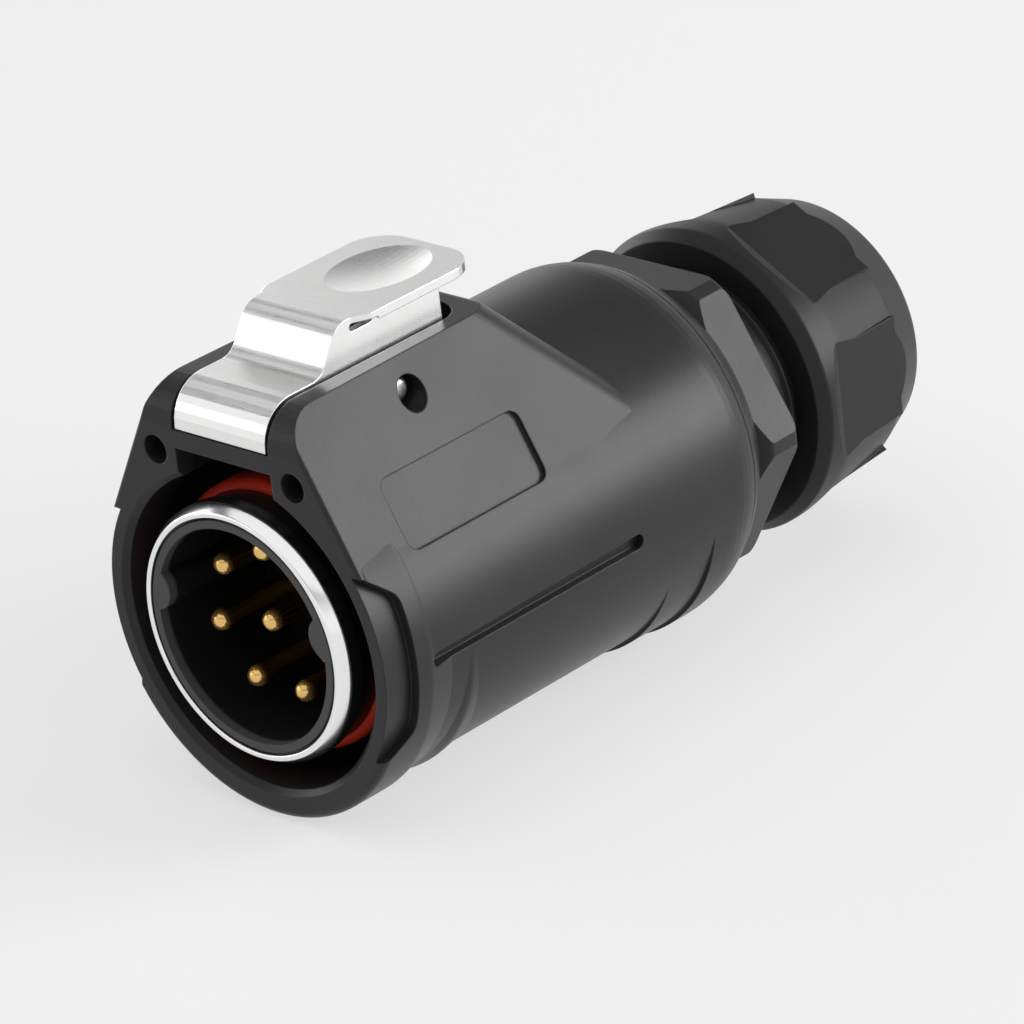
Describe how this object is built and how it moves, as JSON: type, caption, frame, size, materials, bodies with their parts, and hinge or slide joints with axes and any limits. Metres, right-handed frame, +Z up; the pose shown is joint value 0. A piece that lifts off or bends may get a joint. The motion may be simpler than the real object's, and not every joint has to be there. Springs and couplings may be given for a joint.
{
  "type": "circular connector plug",
  "caption": "Round cable plug with a sealed keyed pin insert, a sprung metal push latch on a hump, a hexagon back shell and a lobed gland nut.",
  "frame": {"origin": "on the mating axis, at the shell's front face", "axes": "-Y out of the mating mouth, +Y to the cable, +Z up through the latch hump, +X to the flank with the plate"},
  "size_m": [0.0284, 0.0631, 0.0359],
  "materials": {
    "shell_plastic": "moulded satin",
    "ring_chrome": "polished",
    "barrel_gloss": "glossy black",
    "insulator_plastic": "moulded dark grey",
    "red_silicone": "satin red",
    "black_rubber": "matte black",
    "insert_plastic": "moulded",
    "contact_gold": "gold plated",
    "lever_steel": "satin stainless",
    "pin_steel": "ground",
    "spring_steel": "drawn wire",
    "adapter_plastic": "moulded satin",
    "cage_plastic": "moulded",
    "nut_plastic": "moulded satin"
  },
  "bodies": {
    "housing": {"shell": "shell_plastic", "front_ring": "ring_chrome", "barrel": "barrel_gloss", "insulator": "insulator_plastic", "face_seal": "red_silicone", "barrel_gasket": "black_rubber", "insert_nut": "insert_plastic", "contact_pin_1": "contact_gold", "contact_pin_2": "contact_gold", "contact_pin_3": "contact_gold", "contact_pin_4": "contact_gold", "contact_pin_5": "contact_gold", "contact_pin_6": "contact_gold", "contact_pin_7": "contact_gold", "contact_pin_8": "contact_gold", "latch_pin": "pin_steel", "latch_spring": "spring_steel", "rear_adapter": "adapter_plastic", "adapter_seal": "black_rubber", "clamp_cage": "cage_plastic", "gland_seal": "black_rubber"},
    "lever": {"latch_lever": "lever_steel"},
    "nut": {"gland_nut": "nut_plastic"}
  },
  "joints": [
    {"name": "lever_press", "type": "hinge", "parent": "housing", "child": "lever", "pos_m": [0, 0.0117, 0.0155], "axis": [-1, 0, 0], "range_deg": [0, 9], "stiffness_Nm_per_rad": 0.02, "springref_deg": -9.74, "deforming": ["latch_spring"]},
    {"name": "nut_turn", "type": "hinge", "parent": "housing", "child": "nut", "pos_m": [0, 0.0555, 0], "axis": [0, 1, 0], "continuous": true}
  ]
}
